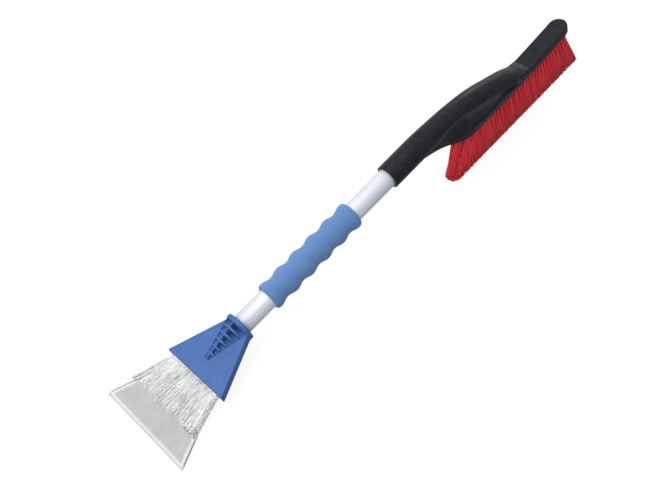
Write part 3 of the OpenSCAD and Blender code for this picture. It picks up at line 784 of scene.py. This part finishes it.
def bristle_row(row):
    """Every filament of a row's tufts: a thin square rod, slightly curved, cut to one plane."""
    rng = np.random.default_rng(FIRST_SEED + row)
    row_y = (row - 2.5) * ROW_PITCH
    root_x, tuft_lean = row_tufts(row, row_y)
    x, lean = np.repeat(root_x, FILAMENTS), np.repeat(tuft_lean, FILAMENTS)
    n = len(x)
    # places in the tuft, at the root and at the tip
    even = np.outer(np.arange(n), EVEN_STEP) % 1.0
    across = 2 * even - 1
    root = across * np.sqrt(1 - across[:, ::-1] ** 2 / 2) * TUFT_R_ROOT
    tip_gap = np.gradient(root_x - np.sin(tuft_lean) * BRISTLE_LEN)
    low, high = -TIP_SHARE * tip_gap, TIP_SHARE * tip_gap
    low[0], high[-1] = -TUFT_R_TIP, TUFT_R_TIP
    low, high = np.repeat(low, FILAMENTS), np.repeat(high, FILAMENTS)
    tip_y = np.sin(across[:, 1] * TIP_CROWD) * TIP_HALF
    tip = np.stack([mix(low, high, even[:, 0]), tip_y], 1) + rng.normal(0, TIP_JITTER, (n, 2))
    near = np.maximum(0, 1 - (x - root_x[0]) / TIP_ARC_LEN)
    tip[:, 0] += near * (tip_inset(row_y + tip[:, 1]) - tip_inset(row_y))
    bow = rng.normal(0, BOW, (n, 2))
    turn = rng.uniform(0, math.pi, n)
    sin, cos = np.sin(lean), np.cos(lean)
    down = np.stack([-sin, np.full(n, math.sin(row_y * ROW_LEAN)), -cos], 1)
    base = np.stack([x, np.full(n, row_y), underside(x)], 1)
    # the length that ends on the trim plane, a little uneven
    to_plane = base[:, 2] + BRISTLE_DROP - sin * tip[:, 0] \
        + TRIM_TILT * (x - ARCH_X + cos * tip[:, 0])
    reach = to_plane / (cos + TRIM_TILT * sin) - TRIM_GAP - rng.uniform(0, TRIM_UNEVEN, n) ** 2
    ux = np.stack([cos, np.zeros(n), -sin], 1)
    uy = np.tile([0.0, 1.0, 0.0], (n, 1))
    verts = []
    for k, t in enumerate(RINGS):
        out = max(t, 0)
        spread = root + (tip - root) * out ** FLARE + bow * (out * (1 - out) * 4)
        centre = base + down * (reach * t)[:, None] + ux * spread[:, :1] + uy * spread[:, 1:]
        r = FILAMENT_R * (1.0 if k < len(RINGS) - 1 else TIP_TAPER)
        for a in range(4):
            angle = a * math.pi / 2 + turn
            corner = ux * (np.cos(angle) * r)[:, None] + uy * (np.sin(angle) * r)[:, None]
            verts.append(centre + corner)
    return np.stack(verts, 1).reshape(-1, 3), rod_quads(n)


for row in (1, 2, 3, 4):
    new_piece(f"red_bristles_{row}", *bristle_row(row),
              red_bristle, "red_bristle", [f"bristle_row_{row}"])

# ---------------------------------------------------------------- the CAD nodes that stay
kept = {"bristle_block": black_board, "tube_plug": black_plastic,
        "blade_screws": screw_steel, "tube_screws": screw_steel,
        **{f"staples_row_{row}": staple_wire for row in (1, 2, 3, 4)}}
for name, material in kept.items():
    mesh = frame["nodes"][name].data
    mesh.materials.clear()
    mesh.materials.append(material)

# ---------------------------------------------------------------- floor, light, camera
scene = bpy.context.scene
low, high = (Vector(corner) for corner in cad_box)
middle = (low + high) / 2

FLOOR_HALF = 60.0
floor_corners = [(-FLOOR_HALF, -FLOOR_HALF, 0), (FLOOR_HALF, -FLOOR_HALF, 0),
                 (FLOOR_HALF, FLOOR_HALF, 0), (-FLOOR_HALF, FLOOR_HALF, 0)]
floor_mesh = bpy.data.meshes.new("floor")
floor_mesh.from_pydata(floor_corners, [], [(0, 1, 2, 3)])
floor = bpy.data.objects.new("floor", floor_mesh)
scene.collection.objects.link(floor)
s = Shader("pale_floor", Roughness=0.9, Emission_Color=(1, 1, 1, 1), Emission_Strength=0.86)
s.colour(s.shades(s.noise(2, 2), (0.15, 0.15, 0.15), (0.17, 0.17, 0.17)))
floor_mesh.materials.append(s.material)
# the bright floor is a backdrop: it throws no light back on the object
floor.visible_diffuse = False
floor.visible_glossy = False

# soft light from all round, brightest from one side above
SKY_BRIGHTEST = Vector((-0.35, 0.45, 0.82)).normalized()
SKY_DARK, SKY_LIGHT, SKY_STRENGTH = (0.42, 0.42, 0.44, 1), (1.0, 1.0, 1.0, 1), 0.9
world = bpy.data.worlds.new("studio")
world.use_nodes = True
sky = world.node_tree
bearing = sky.nodes.new("ShaderNodeTexCoord")
facing = sky.nodes.new("ShaderNodeVectorMath")
facing.operation = "DOT_PRODUCT"
facing.inputs[1].default_value = SKY_BRIGHTEST
spread = sky.nodes.new("ShaderNodeMapRange")
spread.inputs["From Min"].default_value = -1.0
fade = sky.nodes.new("ShaderNodeValToRGB")
darkest, lightest = fade.color_ramp.elements
darkest.position, darkest.color = 0.1, SKY_DARK
lightest.position, lightest.color = 0.95, SKY_LIGHT
sky.links.new(bearing.outputs["Generated"], facing.inputs[0])
sky.links.new(facing.outputs["Value"], spread.inputs["Value"])
sky.links.new(spread.outputs["Result"], fade.inputs["Fac"])
sky.links.new(fade.outputs["Color"], sky.nodes["Background"].inputs["Color"])
sky.nodes["Background"].inputs["Strength"].default_value = SKY_STRENGTH
scene.world = world


def lamp(name, place, size, power):
    """A square area light at a place seen from the object's middle, turned towards that middle."""
    data = bpy.data.lights.new(name, "AREA")
    data.shape, data.size, data.size_y = "RECTANGLE", size, size
    data.energy = power
    made = bpy.data.objects.new(name, data)
    scene.collection.objects.link(made)
    made.location = middle + Vector(place)
    made.rotation_mode = "QUATERNION"
    made.rotation_quaternion = (middle - made.location).to_track_quat("-Z", "Y")


lamp("top_softbox", (-0.67, 0.08, 1.74), size=1.6, power=20)
lamp("far_softbox", (1.24, 0.87, 0.88), size=0.4, power=2.2)

# the camera in the tube's frame: the direction back to it, the two directions across its view,
# its place along these in millimetres, and its roll
VIEW_BACK = np.array([-0.22673604, -0.54614138, 0.80642443])
VIEW_SIDE = np.array([0.97395625, -0.12714117, 0.1877348])
VIEW_UP = np.array([0.0, 0.82798836, 0.56074529])
EYE_SIDE, EYE_UP, EYE_BACK = -23.87, -6.95, 945.45
ROLL = math.radians(45.46)
SENSOR, LENS = 36.0, 51.33
CLIP_NEAR, CLIP_FAR = 0.01, 200
camera_data = bpy.data.cameras.new("camera")
camera_data.sensor_width, camera_data.lens = SENSOR, LENS
camera_data.clip_start, camera_data.clip_end = CLIP_NEAR, CLIP_FAR
camera = bpy.data.objects.new("camera", camera_data)
scene.collection.objects.link(camera)
right = math.cos(ROLL) * VIEW_SIDE - math.sin(ROLL) * VIEW_UP
upward = math.sin(ROLL) * VIEW_SIDE + math.cos(ROLL) * VIEW_UP
axes = Matrix([list(v @ TURN) for v in (right, upward, VIEW_BACK)]).transposed()
camera.matrix_world = axes.to_4x4()
camera.location = lay(EYE_SIDE * VIEW_SIDE + EYE_UP * VIEW_UP + EYE_BACK * VIEW_BACK)
scene.camera = camera
scene.view_settings.view_transform = "Standard"
